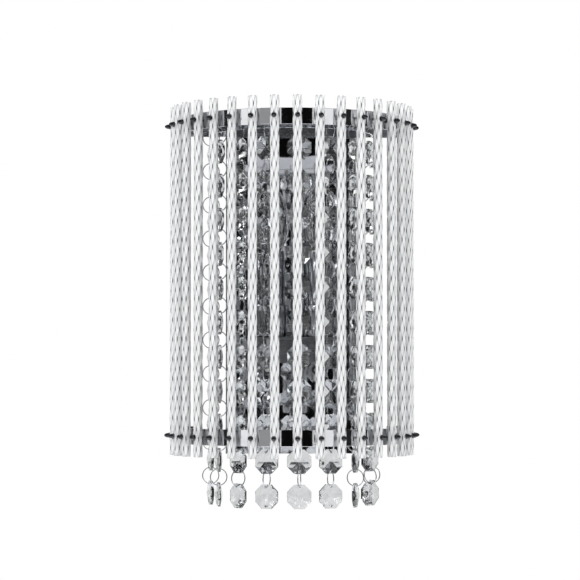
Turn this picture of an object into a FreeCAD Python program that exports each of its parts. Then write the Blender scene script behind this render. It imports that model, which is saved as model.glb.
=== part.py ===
import FreeCAD, Part
import math
import os
import re
import Sketcher

# Crystal wall sconce. Millimetres, +Z up. The wall is the plane Y = 0 and the light
# stands out towards -Y. The origin is on the wall, level with the middle of the rods.

SIZES = [
    ("rod_circle", 100, "radius of the half circle that the rod centres stand on"),
    ("axis_setback", 25, "from the wall to the axis of the half circle"),
    ("rod_count", 17, "twisted rods round the front"),
    ("rod_length", 294, "glass rod, end to end"),
    ("rod_across", 8, "glass rod, corner to corner"),
    ("rod_lead", 99, "height in which a rod twists one full turn"),
    ("rod_seat", 0.3, "gap between a rod and the band behind it"),
    ("band_inset", 16.5, "from a rod's end to the middle of its band"),
    ("band_height", 13.5, "height of the steel bands"),
    ("band_sheet", 1.2, "thickness of the steel bands"),
    ("inner_circle", 68.8, "radius that the crystal strands hang on"),
    ("upper_leg", 5, "straight run of the upper bands behind the half circle"),
    ("tab_length", 13, "tab folded inwards at a band's end"),
    ("strap_sheet", 1.5, "thickness of the straps and of the lamp bracket"),
    ("lower_strap_height", 8, "height of the lower strap"),
    ("strap_wall_gap", 3, "air between the lower strap and the wall"),
    ("pin_across", 2, "shank of a rod pin"),
    ("pin_clearance", 0.1, "radial clearance of a pin in its holes"),
    ("head_across", 4.4, "base of a pin's pointed head"),
    ("head_tip_across", 2, "tip of a pin's pointed head"),
    ("head_length", 4.5, "length of a pin's pointed head"),
    ("pin_nut_across", 4.4, "across the corners of a pin's nut"),
    ("pin_nut_length", 2, "length of a pin's nut"),
    ("pin_nut_seat", 0.1, "gap under a pin's flat nut for the band's curve"),
    ("pin_end", 0.6, "end of a pin that shows past its nut"),
    ("screw_across", 3, "shank of a frame screw"),
    ("screw_clearance", 0.2, "radial clearance of a frame screw in its holes"),
    ("screw_head_across", 5.5, "head of a frame screw"),
    ("screw_head_length", 2, "length of a frame screw's head"),
    ("screw_shank", 5.6, "shank of a frame screw under its head"),
    ("screw_nut_across", 6, "across the corners of a frame nut"),
    ("screw_nut_length", 2.2, "length of a frame nut"),
    ("strap_screw_place", 40, "from the middle to a strap's screws into the tray"),
    ("tray_margin", 3.9, "gap from the tray's side to the nuts of the inner band"),
    ("tray_height", 294, "polished tray on the wall"),
    ("tray_sheet", 1.2, "thickness of the tray"),
    ("tray_corner", 3, "radius of the tray's upright edges"),
    ("notch_play", 0.2, "play of the lower strap in the tray's notches"),
    ("bar_margin", 4.8, "gap from the bracket bar to the inside of the tray"),
    ("bar_height", 24, "bracket bar on the wall"),
    ("bar_sheet", 2, "thickness of the bracket bar"),
    ("bar_rise", 10, "height of the bracket bar over the origin"),
    ("fixing_spacing", 60, "between the two wall screws"),
    ("fixing_across", 4.5, "hole for a wall screw"),
    ("cable_entry_across", 16, "hole in the bracket bar for the mains cable"),
    ("stud_spacing", 84, "between the studs that carry the tray"),
    ("stud_across", 4, "stud"),
    ("stud_clearance", 0.1, "radial clearance of a stud in the tray"),
    ("cap_nut_across", 8, "cap nut on a stud"),
    ("cap_nut_length", 7, "cap nut on a stud"),
    ("stud_grip", 5, "how far a stud reaches into its cap nut"),
    ("block_width", 54, "terminal block"),
    ("block_height", 16, "terminal block"),
    ("block_depth", 9, "terminal block"),
    ("block_drop", 20, "from the origin down to the middle of the terminal block"),
    ("lamp_spacing", 42, "between the two lamps"),
    ("lamp_reach", 55, "from the wall to the lamps' axes"),
    ("lamp_base", 48, "from the origin down to the foot of the lampholders"),
    ("shelf_width", 75, "width of the lamp bracket"),
    ("shelf_margin", 17, "shelf in front of the lamps' axes"),
    ("flange_height", 20, "flange of the lamp bracket down the tray"),
    ("shelf_screw_place", 28, "from the middle to the lamp bracket's screws"),
    ("cup_across", 32, "foot of a lampholder"),
    ("cup_height", 27, "foot of a lampholder"),
    ("core_across", 24, "upper part of a lampholder, inside the candle sleeve"),
    ("core_height", 40, "upper part of a lampholder"),
    ("socket_depth", 17, "depth of the lamp socket"),
    ("sleeve_across", 28, "candle sleeve"),
    ("sleeve_height", 45, "candle sleeve"),
    ("sleeve_clearance", 0.2, "radial clearance of a sleeve on its holder"),
    ("cap_across", 14, "screw cap of a bulb"),
    ("cap_clearance", 0.08, "radial clearance of a cap in its socket"),
    ("cap_seat", 0.3, "gap under a bulb's contact"),
    ("cap_collar_across", 18, "collar at the top of a bulb's cap"),
    ("cap_collar_height", 3, "collar at the top of a bulb's cap"),
    ("bulb_across", 35, "bulb glass at its widest"),
    ("bulb_length", 65, "bulb glass"),
    ("bulb_wall", 0.8, "thickness of the bulb glass"),
    ("cap_tip_across", 7, "contact at the foot of a bulb's cap"),
    ("cap_tip_height", 1.5, "contact at the foot of a bulb's cap"),
    ("cap_taper", 1.5, "taper between a bulb's contact and its thread"),
    ("bulb_neck_across", 17, "bulb glass where it leaves the cap"),
    ("bulb_belly_rise", 25, "height of the bulb's widest place over its neck"),
    ("bulb_shoulder_across", 17, "bulb glass where the pointed tip begins"),
    ("bulb_tip", 12, "height of the bulb's pointed tip"),
    ("bulb_pip_across", 1.6, "small flat at the very tip of the bulb"),
    ("lead_across", 3, "sheathed lead to a lampholder"),
    ("lead_play", 0.4, "radial play of a lead in its holes"),
    ("lead_bend", 5, "radius of a lead's bend inside the tray"),
    ("lead_sweep", 14, "radius of a lead's bend under its lamp"),
    ("lead_drop", 6, "from the lamp bracket's flange down to a lead"),
    ("lead_entry", 5, "length of a lead inside its lampholder"),
    ("crystal_across", 20, "octagon crystal, flat to flat"),
    ("crystal_centre", 7.2, "thickness of a crystal at its middle"),
    ("crystal_rim", 2, "thickness of a crystal at its corners"),
    ("crystal_star", 7, "from a crystal's middle to the tips of its rim facets"),
    ("crystal_hole", 2, "hole in a crystal for its ring"),
    ("hole_inset", 2.2, "from a crystal's flat to the middle of its hole"),
    ("crystals_each", 11, "crystals on a strand"),
    ("strand_count", 9, "strands on the inner band"),
    ("strand_turn", 2.5, "degrees that the whole row of strands is turned"),
    ("ring_across", 14.8, "ring between two crystals"),
    ("ring_wire", 0.9, "wire of a ring"),
    ("ring_gap", 0.13, "gap between a ring's wire and the hole that it hangs in"),
    ("hanger_hole", 2.4, "hole in the inner band for a strand's top ring"),
    ("hanger_rise", 5.6, "from the inner band's lower edge to those holes"),
]

ROD_SIDES = 6
CRYSTAL_SIDES = 8
LOFT_STEPS_PER_TURN = 12

# How far each strand has turned about its own line by its last crystal, in degrees.
STRAND_TWISTS = [8, -20, -12, -8, 5, -8, 28, -27, 12]

document = FreeCAD.newDocument("wall_sconce")
sheet = document.addObject("Spreadsheet::Sheet", "Sizes")
for row, (alias, number, meaning) in enumerate(SIZES, start=1):
    sheet.set("A%d" % row, alias)
    sheet.set("B%d" % row, str(number))
    sheet.set("C%d" % row, meaning)
    sheet.setAlias("B%d" % row, alias)
document.recompute()

ALIASES = re.compile(r"\b(" + "|".join(alias for alias, number, meaning in SIZES) + r")\b")


def cells(formula):
    """The formula with each size's name pointing at its cell."""
    return ALIASES.sub(r"Sizes.\1", formula)


def value(formula):
    """The number that a formula of size names gives now."""
    return float(sheet.evalExpression(cells(formula)))


def bind(target, **formulas):
    """Ties properties to formulas; two underscores in a name stand for a dot."""
    for prop, formula in formulas.items():
        target.setExpression(prop.replace("__", "."), cells(formula))


def fix_point(sketch, geometry, end, x, y):
    """Holds one point of a sketch at the formulas x and y."""
    for kind, axis, formula in (("DistanceX", -2, x), ("DistanceY", -1, y)):
        if formula == "0":
            sketch.addConstraint(Sketcher.Constraint("PointOnObject", geometry, end, axis))
            continue
        held = Sketcher.Constraint(kind, -1, 1, geometry, end, value(formula))
        index = sketch.addConstraint(held)
        sketch.setExpression("Constraints[%d]" % index, cells(formula))


def new_sketch(body, name, plane):
    """An empty sketch on one of the body's own origin planes."""
    sketch = body.newObject("Sketcher::SketchObject", name)
    support = [item for item in body.Origin.OriginFeatures if item.Role == plane][0]
    sketch.AttachmentSupport = [(support, "")]
    sketch.MapMode = "FlatFace"
    return sketch


def outline(sketch, corners):
    """A closed outline of straight lines through corners, each a pair of formulas."""
    points = [FreeCAD.Vector(value(x), value(y), 0) for x, y in corners]
    lines = [sketch.addGeometry(Part.LineSegment(start, end), False)
             for start, end in zip(points, points[1:] + points[:1])]
    for line, following in zip(lines, lines[1:] + lines[:1]):
        sketch.addConstraint(Sketcher.Constraint("Coincident", line, 2, following, 1))
    for line, (x, y) in zip(lines, corners):
        fix_point(sketch, line, 1, x, y)


def rectangle(sketch, low, high):
    """A rectangle between two corners, each a pair of formulas."""
    outline(sketch, [low, (high[0], low[1]), high, (low[0], high[1])])


def circle(sketch, x, y, across):
    """A circle of the diameter formula across at the formulas x and y."""
    centre = FreeCAD.Vector(value(x), value(y), 0)
    shape = Part.Circle(centre, FreeCAD.Vector(0, 0, 1), value(across) / 2)
    index = sketch.addGeometry(shape, False)
    held = sketch.addConstraint(Sketcher.Constraint("Diameter", index, value(across)))
    sketch.setExpression("Constraints[%d]" % held, cells(across))
    fix_point(sketch, index, 3, x, y)


def new_body(label, x="0", y="0", z="0"):
    """An empty body that stands at the formulas x, y and z."""
    body = document.addObject("PartDesign::Body", label)
    body.Label = label
    bind(body, Placement__Base__x=x, Placement__Base__y=y, Placement__Base__z=z)
    return body


def pad(body, sketch, length, back=False, both=False):
    """Pads a sketch by the formula length; back goes against the plane's normal."""
    feature = body.newObject("PartDesign::Pad", "Pad")
    feature.Profile = sketch
    feature.Reversed = back
    feature.Midplane = both
    bind(feature, Length=length)
    document.recompute()
    return feature


def pocket(body, sketch, length, back=False, both=False):
    """Cuts a sketch into the body and checks that it took material away."""
    document.recompute()
    before = body.Shape.Volume
    feature = body.newObject("PartDesign::Pocket", "Pocket")
    feature.Profile = sketch
    feature.Reversed = back
    feature.Midplane = both
    bind(feature, Length=length)
    document.recompute()
    if body.Shape.Volume >= before:
        raise RuntimeError("a pocket of %s cuts nothing" % body.Label)
    return feature


def turned_body(label, outlines, x="0", y="0", z="0"):
    """A body turned about its own Z axis from outlines of (radius, height) formulas."""
    body = new_body(label, x, y, z)
    sketch = new_sketch(body, label + "_profile", "XZ_Plane")
    for corners in outlines:
        outline(sketch, corners)
    feature = body.newObject("PartDesign::Revolution", "Revolution")
    feature.Profile = sketch
    feature.ReferenceAxis = (sketch, ["V_Axis"])
    feature.Angle = 360
    document.recompute()
    return body


def plain_feature(label, shape, x="0", y="0", z="0"):
    """A sub-part from a finished shape, placed at the formulas x, y and z."""
    feature = document.addObject("Part::Feature", label)
    feature.Label = label
    feature.Shape = shape
    bind(feature, Placement__Base__x=x, Placement__Base__y=y, Placement__Base__z=z)
    return feature


BAND_Z = "(rod_length / 2 - band_inset)"
OUTER_RADIUS = "(rod_circle - rod_across / 2 - rod_seat)"
INNER_RADIUS = "(inner_circle + band_sheet / 2)"
LOWER_LEG = "(axis_setback - strap_wall_gap - strap_sheet - band_sheet)"
TRAY_DEPTH = "(axis_setback - upper_leg - band_sheet - strap_sheet)"
PIN_HOLE = "(pin_across + 2 * pin_clearance)"
SCREW_HOLE = "(screw_across + 2 * screw_clearance)"
OUTER_SCREW = "(%s - tab_length / 2)" % OUTER_RADIUS
INNER_SCREW = "(%s - tab_length / 2)" % INNER_RADIUS
TRAY_HALF = "(%s - screw_nut_across / 2 - tray_margin)" % INNER_SCREW
BAR_HALF = "(%s - tray_sheet - bar_margin)" % TRAY_HALF
HANGER_Z = "(%s - band_height / 2 + hanger_rise)" % BAND_Z
BAND_INSIDE = "(%s - band_sheet)" % OUTER_RADIUS
STUD_HOLE = "(stud_across + 2 * stud_clearance)"
LEAD_HOLE = "(lead_across + 2 * lead_play)"
SHELF_SCREW_Z = "(-lamp_base - strap_sheet - flange_height / 2)"
LEAD_Z = "(-lamp_base - strap_sheet - flange_height - lead_drop)"
BLOCK_BACK = "(tray_sheet + block_depth - %s)" % TRAY_DEPTH
LEAD_Y = "(%s - block_depth / 2)" % BLOCK_BACK
BLOCK_WAYS = ["lamp_spacing / 2", "0", "-lamp_spacing / 2"]
CAP_Z = "(cup_height + core_height - socket_depth + cap_seat - lamp_base)"


def rod_angles():
    """Angles of the rods about the axis, from the front, in degrees."""
    count = int(value("rod_count"))
    return [(index - (count - 1) / 2) * 180 / count for index in range(count)]


def strand_angles():
    """Angles of the strands about the axis, from the front, in degrees."""
    count = int(value("strand_count"))
    pitch = 180 / (count - 1)
    return [(index - (count - 1) / 2) * pitch + value("strand_turn") for index in range(count)]


def around(shape, angle):
    """The shape turned about the Z axis; angle 0 faces the front, -Y."""
    turned = shape.copy()
    turned.rotate(FreeCAD.Vector(0, 0, 0), FreeCAD.Vector(0, 0, 1), angle)
    return turned


def radial_drill(name, across, z, angle):
    """A drill from the half circle's axis outwards, as long as the rod circle is wide."""
    drill = document.addObject("Part::Cylinder", name)
    upright = FreeCAD.Rotation(FreeCAD.Vector(1, 0, 0), 90)
    drill.Placement.Rotation = FreeCAD.Rotation(FreeCAD.Vector(0, 0, 1), angle) * upright
    bind(drill, Radius="%s / 2" % across, Height="rod_circle")
    bind(drill, Placement__Base__y="-axis_setback", Placement__Base__z=z)
    return drill


def drilled(label, base, drills):
    """The sub-part left when a group of drills is cut from a base."""
    group = document.addObject("Part::Compound", label + "_drills")
    group.Links = drills
    result = document.addObject("Part::Cut", label)
    result.Label = label
    result.Base = base
    result.Tool = group
    return result


def bent_band(name, radius, leg, z):
    """A steel band before its radial holes: half ring, two legs, two tabs folded inwards."""
    body = new_body(name, y="-axis_setback", z=z)
    half = "band_height / 2"
    inside = "(%s - band_sheet)" % radius
    section = new_sketch(body, name + "_section", "XZ_Plane")
    rectangle(section, (inside, "-" + half), (radius, half))
    ring = body.newObject("PartDesign::Revolution", "HalfRing")
    ring.Profile = section
    ring.ReferenceAxis = (section, ["V_Axis"])
    ring.Angle = 180
    ring.Reversed = True
    legs = new_sketch(body, name + "_legs", "XZ_Plane")
    rectangle(legs, (inside, "-" + half), (radius, half))
    rectangle(legs, ("-" + radius, "-" + half), ("-" + inside, half))
    pad(body, legs, leg, back=True)
    tabs = new_sketch(body, name + "_tabs", "XY_Plane")
    fold = "(%s - tab_length)" % radius
    back_face = "(%s + band_sheet)" % leg
    rectangle(tabs, (fold, leg), (radius, back_face))
    rectangle(tabs, ("-" + radius, leg), ("-" + fold, back_face))
    pad(body, tabs, "band_height", both=True)
    screws = new_sketch(body, name + "_screw_holes", "XZ_Plane")
    place = "(%s - tab_length / 2)" % radius
    circle(screws, place, "0", SCREW_HOLE)
    circle(screws, "-" + place, "0", SCREW_HOLE)
    pocket(body, screws, back_face)
    return body


def outer_band(label, leg, z):
    """The band that carries one end of every rod."""
    blank = bent_band(label + "_blank", OUTER_RADIUS, leg, z)
    drills = [radial_drill("%s_drill_%d" % (label, index), PIN_HOLE, z, angle)
              for index, angle in enumerate(rod_angles(), start=1)]
    return drilled(label, blank, drills)


def inner_band(label):
    """The band that the crystal strands hang on."""
    blank = bent_band(label + "_blank", INNER_RADIUS, "upper_leg", BAND_Z)
    drills = [radial_drill("%s_drill_%d" % (label, index), "hanger_hole", HANGER_Z, angle)
              for index, angle in enumerate(strand_angles(), start=1)]
    return drilled(label, blank, drills)


def strap(label, front, height, z, screw_places):
    """A flat bar across the back that closes a band; front is its face's depth."""
    body = new_body(label, y="-%s" % front, z=z)
    plate = new_sketch(body, label + "_plate", "XZ_Plane")
    rectangle(plate, ("-" + OUTER_RADIUS, "-" + height + " / 2"), (OUTER_RADIUS, height + " / 2"))
    pad(body, plate, "strap_sheet", back=True)
    holes = new_sketch(body, label + "_holes", "XZ_Plane")
    for place in screw_places:
        circle(holes, place, "0", SCREW_HOLE)
        circle(holes, "-" + place, "0", SCREW_HOLE)
    pocket(body, holes, "strap_sheet")
    return body


def edges_where(shape, test):
    """Names of the straight upright edges whose middle passes a test."""
    names = []
    for index, edge in enumerate(shape.Edges, start=1):
        box = edge.BoundBox
        if box.XLength < 0.01 and box.YLength < 0.01 and test(box.Center):
            names.append("Edge%d" % index)
    return names


def tray():
    """The polished tray that covers the wall fixing and the wiring."""
    body = new_body("backplate")
    half = TRAY_HALF
    tall = "tray_height / 2"
    face = new_sketch(body, "tray_face", "XZ_Plane")
    rectangle(face, ("-" + half, "-" + tall), (half, tall))
    block = pad(body, face, TRAY_DEPTH)
    front = edges_where(block.Shape, lambda middle: middle.y < -1)
    rounded = body.newObject("PartDesign::Fillet", "UprightEdges")
    rounded.Base = (block, front)
    bind(rounded, Radius="tray_corner")
    hollow = new_sketch(body, "tray_hollow", "XZ_Plane")
    inside_x = "(%s - tray_sheet)" % TRAY_HALF
    inside_z = "(tray_height / 2 - tray_sheet)"
    rectangle(hollow, ("-" + inside_x, "-" + inside_z), (inside_x, inside_z))
    cavity = pocket(body, hollow, TRAY_DEPTH + " - tray_sheet", back=True)
    inner = edges_where(cavity.Shape, lambda middle: middle.y < -1
                        and abs(abs(middle.x) - value(inside_x)) < 0.01)
    eased = body.newObject("PartDesign::Fillet", "InnerEdges")
    eased.Base = (cavity, inner)
    bind(eased, Radius="tray_corner - tray_sheet")
    holes = new_sketch(body, "tray_holes", "XZ_Plane")
    for side in ("", "-"):
        circle(holes, side + "stud_spacing / 2", "bar_rise", STUD_HOLE)
        circle(holes, side + "strap_screw_place", BAND_Z, SCREW_HOLE)
        circle(holes, side + "shelf_screw_place", SHELF_SCREW_Z, SCREW_HOLE)
        circle(holes, side + "lamp_spacing / 2", LEAD_Z, LEAD_HOLE)
    pocket(body, holes, TRAY_DEPTH, back=True)
    notches = new_sketch(body, "tray_notches", "XZ_Plane")
    low = "(-%s - lower_strap_height / 2 - notch_play)" % BAND_Z
    high = "(-%s + lower_strap_height / 2 + notch_play)" % BAND_Z
    rectangle(notches, (inside_x, low), (half, high))
    rectangle(notches, ("-" + half, low), ("-" + inside_x, high))
    pocket(body, notches, "strap_wall_gap + strap_sheet", back=True)
    return body


def wall_bracket():
    """The bar that is screwed to the wall first."""
    body = new_body("wall_bracket", z="bar_rise")
    plate = new_sketch(body, "bar_plate", "XZ_Plane")
    rectangle(plate, ("-" + BAR_HALF, "-bar_height / 2"), (BAR_HALF, "bar_height / 2"))
    pad(body, plate, "bar_sheet")
    holes = new_sketch(body, "bar_holes", "XZ_Plane")
    circle(holes, "0", "0", "cable_entry_across")
    circle(holes, "fixing_spacing / 2", "0", "fixing_across")
    circle(holes, "-fixing_spacing / 2", "0", "fixing_across")
    pocket(body, holes, "bar_sheet", back=True)
    return body


def terminal_block():
    """The terminal strip that joins the mains cable to the leads."""
    body = new_body("terminal_block", y=BLOCK_BACK, z="-block_drop")
    plate = new_sketch(body, "block_face", "XZ_Plane")
    low = ("-block_width / 2", "-block_height / 2")
    rectangle(plate, low, ("block_width / 2", "block_height / 2"))
    pad(body, plate, "block_depth")
    ways = new_sketch(body, "block_ways", "XY_Plane")
    for place in BLOCK_WAYS:
        circle(ways, place, "-block_depth / 2", "lead_across + 2 * lead_play")
    pocket(body, ways, "block_height", both=True)
    return body


def lamp_bracket():
    """The folded shelf that carries both lampholders."""
    body = new_body("lamp_bracket")
    side = new_sketch(body, "shelf_side", "YZ_Plane")
    tip = "(-lamp_reach - shelf_margin)"
    face = "(-%s)" % TRAY_DEPTH
    fold = "(-%s - strap_sheet)" % TRAY_DEPTH
    top = "(-lamp_base)"
    under = "(-lamp_base - strap_sheet)"
    foot = "(-lamp_base - strap_sheet - flange_height)"
    outline(side, [(tip, top), (face, top), (face, foot), (fold, foot), (fold, under), (tip, under)])
    pad(body, side, "shelf_width", both=True)
    lead_holes = new_sketch(body, "shelf_lead_holes", "XY_Plane")
    circle(lead_holes, "lamp_spacing / 2", "-lamp_reach", LEAD_HOLE)
    circle(lead_holes, "-lamp_spacing / 2", "-lamp_reach", LEAD_HOLE)
    pocket(body, lead_holes, "lamp_base + strap_sheet")
    screws = new_sketch(body, "shelf_screw_holes", "XZ_Plane")
    circle(screws, "shelf_screw_place", SHELF_SCREW_Z, SCREW_HOLE)
    circle(screws, "-shelf_screw_place", SHELF_SCREW_Z, SCREW_HOLE)
    pocket(body, screws, TRAY_DEPTH + " + strap_sheet", back=True)
    return body


def lampholder(label, x):
    """A lampholder: wide foot, narrow core, socket from above and lead bore from below."""
    bore = LEAD_HOLE + " / 2"
    foot = "cup_across / 2"
    core = "core_across / 2"
    socket = "(cap_across / 2 + cap_clearance)"
    top = "(cup_height + core_height)"
    floor = "(%s - socket_depth)" % top
    corners = [(bore, "0"), (foot, "0"), (foot, "cup_height"), (core, "cup_height"), (core, top),
               (socket, top), (socket, floor), (bore, floor)]
    return turned_body(label, [corners], x, "-lamp_reach", "-lamp_base")


def candle_sleeve(label, x):
    """The plain tube over a lampholder's core."""
    inside = "(core_across / 2 + sleeve_clearance)"
    outside = "sleeve_across / 2"
    corners = [(inside, "0"), (outside, "0"), (outside, "sleeve_height"), (inside, "sleeve_height")]
    return turned_body(label, [corners], x, "-lamp_reach", "cup_height - lamp_base")


def bulb_cap(label, x):
    """A bulb's screw cap: contact, taper, thread as a plain cylinder, and collar."""
    tip = "cap_tip_across / 2"
    body = "cap_across / 2"
    collar = "cap_collar_across / 2"
    thread = "(cap_tip_height + cap_taper)"
    top = "(socket_depth + cap_collar_height)"
    corners = [("0", "0"), (tip, "0"), (tip, "cap_tip_height"), (body, thread),
               (body, "socket_depth"), (collar, "socket_depth"), (collar, top), ("0", top)]
    return turned_body(label, [corners], x, "-lamp_reach", CAP_Z)


def glass_outline(shrink):
    """Half of a candle bulb's outline from its neck to its small flat tip."""
    length = value("bulb_length") - shrink
    tip = value("bulb_tip")
    shoulder = value("bulb_shoulder_across") / 2 - shrink
    start = FreeCAD.Vector(value("bulb_neck_across") / 2 - shrink, 0, 0)
    belly = FreeCAD.Vector(value("bulb_across") / 2 - shrink, 0, value("bulb_belly_rise"))
    join = FreeCAD.Vector(shoulder, 0, length - tip)
    middle = FreeCAD.Vector(shoulder * 0.72, 0, length - tip * 0.4)
    pip = FreeCAD.Vector(value("bulb_pip_across") / 2, 0, length)
    end = FreeCAD.Vector(0, 0, length)
    return [Part.Arc(start, belly, join), Part.Arc(join, middle, pip),
            Part.LineSegment(pip, end)]


def bulb_glass(label, x):
    """A candle bulb's thin glass, open at its neck."""
    outside = glass_outline(0)
    inside = glass_outline(value("bulb_wall"))
    axis_run = Part.LineSegment(outside[-1].EndPoint, inside[-1].EndPoint)
    neck_run = Part.LineSegment(outside[0].StartPoint, inside[0].StartPoint)
    edges = [curve.toShape() for curve in outside + inside + [axis_run, neck_run]]
    face = Part.Face(Part.Wire(Part.__sortEdges__(edges)))
    glass = face.revolve(FreeCAD.Vector(0, 0, 0), FreeCAD.Vector(0, 0, 1), 360)
    top = CAP_Z + " + socket_depth + cap_collar_height"
    return plain_feature(label, glass, x, "-lamp_reach", top)


def lead(label, x):
    """A lead from the terminal block down, out of the tray and up into a lampholder."""
    start = FreeCAD.Vector(0, value(LEAD_Y), value("-block_drop"))
    low = value(LEAD_Z)
    bend = value("lead_bend")
    sweep = value("lead_sweep")
    lamp = value("-lamp_reach")
    end = FreeCAD.Vector(0, lamp, value("lead_entry - lamp_base"))
    quarter = math.sqrt(0.5)
    down = FreeCAD.Vector(0, start.y, low + bend)
    forward = FreeCAD.Vector(0, start.y - bend, low)
    under = FreeCAD.Vector(0, lamp + sweep, low)
    up = FreeCAD.Vector(0, lamp, low + sweep)
    bend_middle = FreeCAD.Vector(0, forward.y + bend * quarter, down.z - bend * quarter)
    sweep_middle = FreeCAD.Vector(0, under.y - sweep * quarter, up.z - sweep * quarter)
    path = Part.Wire([Part.LineSegment(start, down).toShape(),
                      Part.Arc(down, bend_middle, forward).toShape(),
                      Part.LineSegment(forward, under).toShape(),
                      Part.Arc(under, sweep_middle, up).toShape(),
                      Part.LineSegment(up, end).toShape()])
    section = Part.Wire(Part.makeCircle(value("lead_across / 2"), start, FreeCAD.Vector(0, 0, 1)))
    return plain_feature(label, path.makePipeShell([section], True, False), x)


def disc(across, start, length):
    """A round bar along -Y that starts at the depth start."""
    return Part.makeCylinder(across / 2, length, FreeCAD.Vector(0, -start, 0),
                             FreeCAD.Vector(0, -1, 0))


def hexagon(across, bore, start, length):
    """A hexagon nut along -Y that starts at the depth start."""
    corners = []
    for index in range(6):
        angle = math.radians(60 * index)
        corners.append(FreeCAD.Vector(across / 2 * math.cos(angle), -start,
                                      across / 2 * math.sin(angle)))
    face = Part.Face(Part.makePolygon(corners + corners[:1]))
    nut = face.extrude(FreeCAD.Vector(0, -length, 0))
    return nut.cut(disc(bore, start, length))


def round_the_bands(shape):
    """Copies of a front piece at every rod, on the upper and the lower band."""
    copies = []
    for z in (value(BAND_Z), -value(BAND_Z)):
        for angle in rod_angles():
            copy = around(shape, angle)
            copy.translate(FreeCAD.Vector(0, 0, z))
            copies.append(copy)
    return Part.makeCompound(copies)


def rod_pins():
    """The pins through the rods, each with a pointed head outside."""
    head_base = value("rod_circle + rod_across / 2")
    end = value(BAND_INSIDE + " - pin_nut_seat - pin_nut_length - pin_end")
    shank = disc(value("pin_across"), end, head_base - end)
    head = Part.makeCone(value("head_across / 2"), value("head_tip_across / 2"),
                         value("head_length"), FreeCAD.Vector(0, -head_base, 0),
                         FreeCAD.Vector(0, -1, 0))
    return plain_feature("rod_pins", round_the_bands(shank.fuse(head).removeSplitter()),
                         y="-axis_setback")


def pin_nuts():
    """The nuts inside the bands."""
    start = value(BAND_INSIDE + " - pin_nut_seat - pin_nut_length")
    nut = hexagon(value("pin_nut_across"), value(PIN_HOLE), start, value("pin_nut_length"))
    return plain_feature("pin_nuts", round_the_bands(nut), y="-axis_setback")


def screw_seats():
    """Each frame screw's place: x, depth of its head's seat, height and grip."""
    tab_face = value("axis_setback - upper_leg")
    low_tab_face = value("axis_setback - %s" % LOWER_LEG)
    strap_face = value(TRAY_DEPTH + " + strap_sheet")
    tab_grip = value("band_sheet + strap_sheet")
    tray_grip = value("tray_sheet + strap_sheet")
    seats = [(value(OUTER_SCREW), tab_face, value(BAND_Z), tab_grip),
             (value(INNER_SCREW), tab_face, value(BAND_Z), tab_grip),
             (value("strap_screw_place"), strap_face, value(BAND_Z), tray_grip),
             (value("shelf_screw_place"), strap_face, value(SHELF_SCREW_Z), tray_grip),
             (value(OUTER_SCREW), low_tab_face, -value(BAND_Z), tab_grip)]
    return seats + [(-x, depth, z, grip) for x, depth, z, grip in seats]


def frame_screws():
    """The pan-head screws that hold the bands, straps, tray and lamp bracket together."""
    shank_length = value("screw_shank")
    screws = []
    for x, depth, z, grip in screw_seats():
        shank = disc(value("screw_across"), depth - shank_length, shank_length)
        head = disc(value("screw_head_across"), depth, value("screw_head_length"))
        screw = shank.fuse(head).removeSplitter()
        screw.translate(FreeCAD.Vector(x, 0, z))
        screws.append(screw)
    return plain_feature("frame_screws", Part.makeCompound(screws))


def frame_nuts():
    """The nuts behind the frame screws."""
    nuts = []
    for x, depth, z, grip in screw_seats():
        length = value("screw_nut_length")
        bore = value("screw_across + 2 * pin_clearance")
        nut = hexagon(value("screw_nut_across"), bore, depth - grip - length, length)
        nut.translate(FreeCAD.Vector(x, 0, z))
        nuts.append(nut)
    return plain_feature("frame_nuts", Part.makeCompound(nuts))


def bracket_studs():
    """The two studs on the wall bracket."""
    length = value(TRAY_DEPTH + " - bar_sheet + stud_grip")
    studs = []
    for x in (value("stud_spacing / 2"), -value("stud_spacing / 2")):
        stud = disc(value("stud_across"), value("bar_sheet"), length)
        stud.translate(FreeCAD.Vector(x, 0, value("bar_rise")))
        studs.append(stud)
    return plain_feature("bracket_studs", Part.makeCompound(studs))


def cap_nuts():
    """The domed nuts that hold the tray on the studs."""
    seat = value(TRAY_DEPTH)
    across = value("cap_nut_across")
    length = value("cap_nut_length")
    straight = disc(across, seat, length - across / 2)
    dome = Part.makeSphere(across / 2, FreeCAD.Vector(0, across / 2 - length - seat, 0))
    bore = disc(value(STUD_HOLE), seat, value("stud_grip + stud_clearance"))
    nut = straight.fuse(dome).cut(disc(across, 0, seat)).cut(bore).removeSplitter()
    nuts = []
    for x in (value("stud_spacing / 2"), -value("stud_spacing / 2")):
        copy = nut.copy()
        copy.translate(FreeCAD.Vector(x, 0, value("bar_rise")))
        nuts.append(copy)
    return plain_feature("cap_nuts", Part.makeCompound(nuts))


def twisted_rod():
    """One rod at the front: a twisted hexagon bar with a cross hole near each end."""
    length = value("rod_length")
    turns = length / value("rod_lead")
    steps = round(turns * LOFT_STEPS_PER_TURN)
    radius = value("rod_across") / 2
    sections = []
    for step in range(steps + 1):
        height = length * (step / steps - 0.5)
        corners = []
        for side in range(ROD_SIDES):
            angle = 2 * math.pi * (height / value("rod_lead") + side / ROD_SIDES)
            corners.append(FreeCAD.Vector(radius * math.sin(angle), -radius * math.cos(angle), height))
        sections.append(Part.makePolygon(corners + corners[:1]))
    rod = Part.makeLoft(sections, True, True)
    rod.translate(FreeCAD.Vector(0, -value("rod_circle"), 0))
    for z in (value(BAND_Z), -value(BAND_Z)):
        hole = disc(value(PIN_HOLE), value("rod_circle") - radius * 2, radius * 4)
        hole.translate(FreeCAD.Vector(0, 0, z))
        rod = rod.cut(hole)
    return rod


def rods():
    """Every rod round the front, each a sub-part of its own."""
    rod = twisted_rod()
    return [plain_feature("rod_%02d" % index, around(rod, angle), y="-axis_setback")
            for index, angle in enumerate(rod_angles(), start=1)]


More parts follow.
